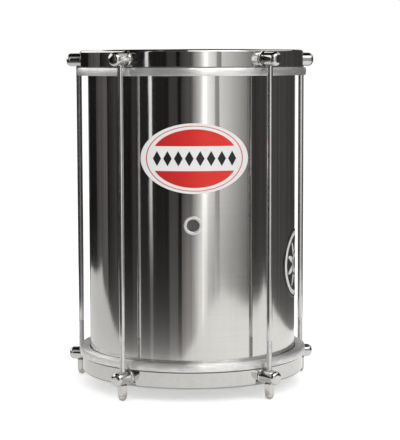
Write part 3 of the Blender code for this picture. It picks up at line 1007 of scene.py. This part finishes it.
# Soft lamps: name, place, width and power
LAMPS = (
    ("key_lamp", (1.3, -1.9, 1.1), 1.4, 17),
    ("fill_lamp", (-1.6, -1.6, 0.8), 1.6, 8),
    ("top_lamp", (0.1, 0.3, 2.0), 1.8, 12),
)
WORLD_AMBIENT = 0.60
FLOOR_HALF = 40.0
FLOOR_LIFT = 0.50

# The dark room that the metal mirrors, and the most degrees between two corners of a wall
ROOM_RADIUS = 2.6
ROOM_LOW = -1.6
ROOM_HIGH = 6.0
ROOM_GREY = 0.010
WALL_STEP = 2

# What glows is slightly warm. Panels under DIM_GLOW are redder and hang in folds, so many to a radian
LIT_TINT = colour(1.0, 0.985, 0.955)
DIM_TINT = colour(1.04, 0.975, 0.955)
DIM_GLOW = 0.2
FOLD_SCALE = 18.0
FOLD_DEPTH = 0.25

# Panels round the drum: start and stop azimuth, glow at each of them, share of it low down, height of the top
PANEL_RADIUS = 2.5
PANEL_FOOT = -1.3
PANELS = (
    ("rear_left_drape", -128, -104, 0.06, 0.12, 0.9, 0.14),
    ("left_drape", -101, -87, 0.020, 0.052, 1.0, 1.0),
    ("left_post", -67, -62.5, 0.045, 0.045, 1.0, 1.0),
    ("left_dim", -62.5, -46.2, 0.022, 0.018, 1.0, 1.0),
    ("left_strip", -46.2, -42.8, 0.85, 1.15, 0.12, 4.5),
    ("left_dark", -42.8, -24, 0.017, 0.015, 1.0, 1.0),
    ("left_gleam", -24, -15, 0.055, 0.055, 1.5, 1.0),
    ("front_drape", -11, 1.5, 0.050, 0.125, 2.6, 1.0),
    ("box_edge", 1.5, 8.7, 0.24, 0.66, 1.4, 4.5),
    ("box_rise", 8.7, 12.3, 0.75, 1.35, 0.95, 4.5),
    ("box", 12.3, 16, 1.75, 1.5, 0.54, 4.5),
    ("box_fall", 16, 24.2, 1.15, 0.80, 0.52, 4.5),
    ("seam", 24.2, 29, 0.40, 0.25, 1.4, 4.5),
    ("wide_box", 29, 62.1, 0.82, 0.25, 0.6, 4.5),
    ("edge_line", 63.5, 65.1, 1.10, 0.90, 0.6, 4.5),
    ("right_drape", 65.1, 92, 0.040, 0.055, 1.0, 1.0),
    ("rear_drape", 92, 165, 0.078, 0.038, 1.0, 1.0),
)

# Up to the first of these levels a panel has its low share of the glow, and from the second all of it
FOOT_LEVEL = -0.66
FULL_LEVEL = -0.23

# Walls that stand free of the table: start and stop azimuth, glow at each, lowest and highest level
HIGH_RADIUS = 2.45
HIGH_WALLS = (
    ("rear_wall", -178, -72, 1.25, 1.25, 0.16, 1.8),
    ("rear_low_wall", 157, 203, 0.15, 0.15, -0.42, 1.2),
    ("high_left", -60, -4, 0.18, 0.20, 1.5, 3.0),
    ("high_box", -4, 64, 1.9, 3.4, 1.3, 4.5),
    ("high_right", 64, 157, 1.00, 0.50, 1.1, 3.0),
)

# Corners of the bright paper that the metal mirrors, and where it is dimmest and brightest: x, glow there
PAPER = (
    (-0.72, 1.19), (-1.02, 0.82), (-1.33, 0.62), (-1.07, 0.39), (-0.95, 0.20), (-0.78, 0.04), (-0.59, -0.11),
    (-0.41, -0.18), (-0.34, -0.28), (-0.13, -0.42), (-0.065, -0.46), (-0.04, -0.53), (-0.01, -0.58),
    (0.07, -0.68), (0.12, -0.76), (0.28, -0.93), (0.62, -1.04), (0.77, -0.79), (0.84, -0.45), (0.95, -0.30),
    (1.21, -0.18), (1.06, -0.05), (0.84, 0.09), (0.66, 0.21), (0.33, 0.38), (0.20, 0.50), (0.0, 0.50),
    (-0.37, 1.18),
)
PAPER_LEFT = (-0.6, 0.64)
PAPER_RIGHT = (0.3, 0.94)

# Glow of the table at 1 m from the drum's axis, the power by which it grows towards the axis, and its most
TABLE_RADIUS = 2.5
TABLE_GLOW = 0.0365
TABLE_POWER = 2.74
TABLE_MOST = 0.80

# The painted shadow under the drum, a dimmer patch over the paper, and the step up from table to paper to
# patch
SHADE_GLOW = 0.50
SHADE_RADIUS = 0.185
SHEET_LIFT = 0.1 * MM
DISC_STEPS = 96


def mirror_only(item):
    """Makes a studio piece show in reflections alone."""
    item.visible_camera = False
    item.visible_diffuse = False
    item.visible_shadow = False
    item.visible_transmission = False
    item.visible_volume_scatter = False


def glow_material(name, left, right, foot):
    """A glow from left to right across a panel, with its share near the foot. A dim one hangs in folds."""
    paint = Painter(name)
    place = paint.split(paint.node("ShaderNodeUVMap").outputs[0])
    rise = paint.spread(place["Y"], FOOT_LEVEL, FULL_LEVEL, foot, 1.0, "SMOOTHSTEP")
    strength = paint.times(paint.spread(place["X"], 0.0, 1.0, left, right), rise)
    tint = LIT_TINT
    if max(left, right) < DIM_GLOW:
        tint = DIM_TINT
        folds = paint.node("ShaderNodeTexNoise", noise_dimensions="1D")
        paint.feed(folds.inputs["W"], paint.azimuth(paint.place()))
        folds.inputs["Scale"].default_value = FOLD_SCALE
        depth = paint.spread(folds.outputs["Fac"], 0.3, 0.7, 1 - FOLD_DEPTH, 1 + FOLD_DEPTH)
        strength = paint.times(strength, depth)
    paint.surface(paint.light(tint, strength))
    return paint.material


def curved_wall(name, radius, start, stop, low, high, material):
    """A wall bent round the drum's axis, for reflections. Its UV is the share across and the height."""
    steps = max(2, ceil((stop - start) / WALL_STEP))
    work = bmesh.new()
    layer = work.loops.layers.uv.new("place")
    columns = []
    for step in range(steps + 1):
        turn = radians(start + (stop - start) * step / steps)
        columns.append([work.verts.new((radius * sin(turn), -radius * cos(turn), z)) for z in (low, high)])
    for step, (left, right) in enumerate(zip(columns, columns[1:])):
        face = work.faces.new((left[0], right[0], right[1], left[1]))
        corners = ((step, low), (step + 1, low), (step + 1, high), (step, high))
        for loop, (column, level) in zip(face.loops, corners):
            loop[layer].uv = (column / steps, level)
    mesh = bpy.data.meshes.new(name)
    work.to_mesh(mesh)
    work.free()
    mesh.materials.append(material)
    mirror_only(add_object(name, mesh))


def flat_sheet(name, corners, height, material):
    """A level sheet with the corners given."""
    mesh = bpy.data.meshes.new(name)
    mesh.from_pydata([(x, y, height) for x, y in corners], [], [tuple(range(len(corners)))])
    mesh.materials.append(material)
    return add_object(name, mesh)


def square(half):
    """The corners of a square sheet, with half its width given."""
    return [(-half, -half), (half, -half), (half, half), (-half, half)]


def disc(radius):
    """The corners of a round sheet."""
    turns = [2 * pi * step / DISC_STEPS for step in range(DISC_STEPS)]
    return [(radius * cos(turn), radius * sin(turn)) for turn in turns]


def make_studio():
    """The dark room, its lit panels, and the table and the paper that the metal mirrors."""
    room = glow_material("room_grey", ROOM_GREY, ROOM_GREY, 1.0)
    curved_wall("room_wall", ROOM_RADIUS, -180, 180, ROOM_LOW, ROOM_HIGH, room)
    mirror_only(flat_sheet("room_ceiling", square(ROOM_RADIUS), ROOM_HIGH, room))
    mirror_only(flat_sheet("room_floor", square(ROOM_RADIUS), ROOM_LOW, room))
    for name, start, stop, left, right, foot, top in PANELS:
        material = glow_material(name, left, right, foot)
        curved_wall(name, PANEL_RADIUS, start, stop, PANEL_FOOT, top, material)
    for name, start, stop, left, right, low, high in HIGH_WALLS:
        curved_wall(name, HIGH_RADIUS, start, stop, low, high, glow_material(name, left, right, 1.0))
    mirror_only(flat_sheet("table", disc(TABLE_RADIUS), FLOOR_LEVEL, table_material()))
    mirror_only(flat_sheet("paper", PAPER, FLOOR_LEVEL + SHEET_LIFT, paper_material()))
    # The patch under the drum is a painted shadow that only reflections show
    shade = glow_material("shade_grey", SHADE_GLOW, SHADE_GLOW, 1.0)
    mirror_only(flat_sheet("shade", disc(SHADE_RADIUS), FLOOR_LEVEL + 2 * SHEET_LIFT, shade))


def paper_material():
    """White paper, lit more at the right."""
    paint = Painter("paper_white")
    (left, dimmest), (right, brightest) = PAPER_LEFT, PAPER_RIGHT
    strength = paint.spread(paint.split(paint.place())["X"], left, right, dimmest, brightest)
    paint.surface(paint.light(LIT_TINT, strength))
    return paint.material


def table_material():
    """A glow laid over what lies behind it, which fades with the distance from the drum's axis."""
    paint = Painter("table_grey")
    fall = paint.math("POWER", paint.from_axis(paint.place()), TABLE_POWER)
    glow = paint.math("MINIMUM", paint.math("DIVIDE", TABLE_GLOW, fall), TABLE_MOST)
    behind = paint.node("ShaderNodeBsdfTransparent").outputs[0]
    paint.surface(paint.feed_all(paint.node("ShaderNodeAddShader"), paint.light(LIT_TINT, glow), behind))
    return paint.material


def make_floor():
    """A pale floor that takes the drum's shadow and reads as white to the camera."""
    paint = Painter("floor")
    seen = paint.node("ShaderNodeLightPath").outputs["Is Camera Ray"]
    paint.shade(Base_Color=grey(0.9), Roughness=0.9, Specular_IOR_Level=0.0,
                Emission_Color=grey(1.0), Emission_Strength=paint.times(seen, FLOOR_LIFT))
    floor = flat_sheet("floor", square(FLOOR_HALF), FLOOR_LEVEL, paint.material)
    floor.visible_glossy = False


def make_world():
    """White to the camera and in glossy and transmitted rays, and a soft even light on the object."""
    world = bpy.data.worlds.new("studio")
    bpy.context.scene.world = world
    world.use_nodes = True
    nodes = Nodes(world.node_tree)
    shown = nodes.tree.nodes["Background"]
    ambient = nodes.node("ShaderNodeBackground")
    for background, strength in ((shown, 1.0), (ambient, WORLD_AMBIENT)):
        background.inputs["Color"].default_value = grey(1.0)
        background.inputs["Strength"].default_value = strength
    path = nodes.node("ShaderNodeLightPath").outputs
    seen = nodes.math("MAXIMUM", path["Is Camera Ray"], path["Is Glossy Ray"])
    seen = nodes.math("MAXIMUM", seen, path["Is Transmission Ray"])
    mixed = nodes.feed_all(nodes.node("ShaderNodeMixShader"), seen, ambient.outputs[0], shown.outputs[0])
    nodes.feed(nodes.tree.nodes["World Output"].inputs["Surface"], mixed)


def make_lamp(name, place, size, power):
    """A square soft lamp aimed at the middle of the drum."""
    data = bpy.data.lights.new(name, "AREA")
    data.size = size
    data.energy = power
    lamp = add_object(name, data)
    lamp.location = place
    target = Vector((0, 0, (SHELL_LOW + SHELL_HIGH) / 2))
    lamp.rotation_euler = (target - Vector(place)).to_track_quat("-Z", "Y").to_euler()
    lamp.visible_glossy = False
    lamp.visible_camera = False


def make_camera():
    """The camera at the photograph's angle."""
    data = bpy.data.cameras.new("camera")
    data.lens = CAMERA_LENS
    data.sensor_width = CAMERA_SENSOR
    data.clip_end = CAMERA_REACH
    camera = add_object("camera", data)
    level = cos(CAMERA_PITCH)
    forward = Vector((sin(CAMERA_YAW) * level, cos(CAMERA_YAW) * level, -sin(CAMERA_PITCH)))
    right = Vector((cos(CAMERA_YAW), -sin(CAMERA_YAW), 0))
    up = right.cross(forward)
    turned_right = right * cos(CAMERA_ROLL) + up * sin(CAMERA_ROLL)
    turned_up = up * cos(CAMERA_ROLL) - right * sin(CAMERA_ROLL)
    axes = Matrix((turned_right, turned_up, -forward)).transposed().to_4x4()
    camera.matrix_world = Matrix.Translation(CAMERA_PLACE) @ axes
    bpy.context.scene.camera = camera


# Building

make_shell(polished_aluminium())
make_eyelet(grommet_brass())
make_plate("badge_plate", "badge", BADGE_WIDTH, BADGE_HEIGHT, badge_enamel())
make_plate("side_disc", "side_decal", DECAL_DIAMETER, DECAL_DIAMETER, decal_film())
film = head_film()
satin = satin_aluminium()
band_chrome = band_steel()
lug_chrome = chrome("chromed_lug", (0.70, 0.70, 0.69), 0.05, (40, 40, 40))
rod_zinc = plated_rod()
nut_nickel = chrome("chromed_nut", (0.70, 0.69, 0.67), 0.10, (40, 40, 900))
for drum_end, head_name in ((TOP, "batter_film"), (BOTTOM, "resonant_film")):
    make_head(head_name, drum_end, film)
    make_flesh_ring(drum_end, satin)
    make_band(drum_end, band_chrome)
    for lug in LUG_NUMBERS:
        make_lug(lug, drum_end, lug_chrome)
for lug in LUG_NUMBERS:
    make_rod(lug, rod_zinc)
    make_nut(lug, nut_nickel)

make_floor()
make_studio()
make_world()
for lamp_settings in LAMPS:
    make_lamp(*lamp_settings)
make_camera()
bpy.context.scene.view_settings.view_transform = "Standard"
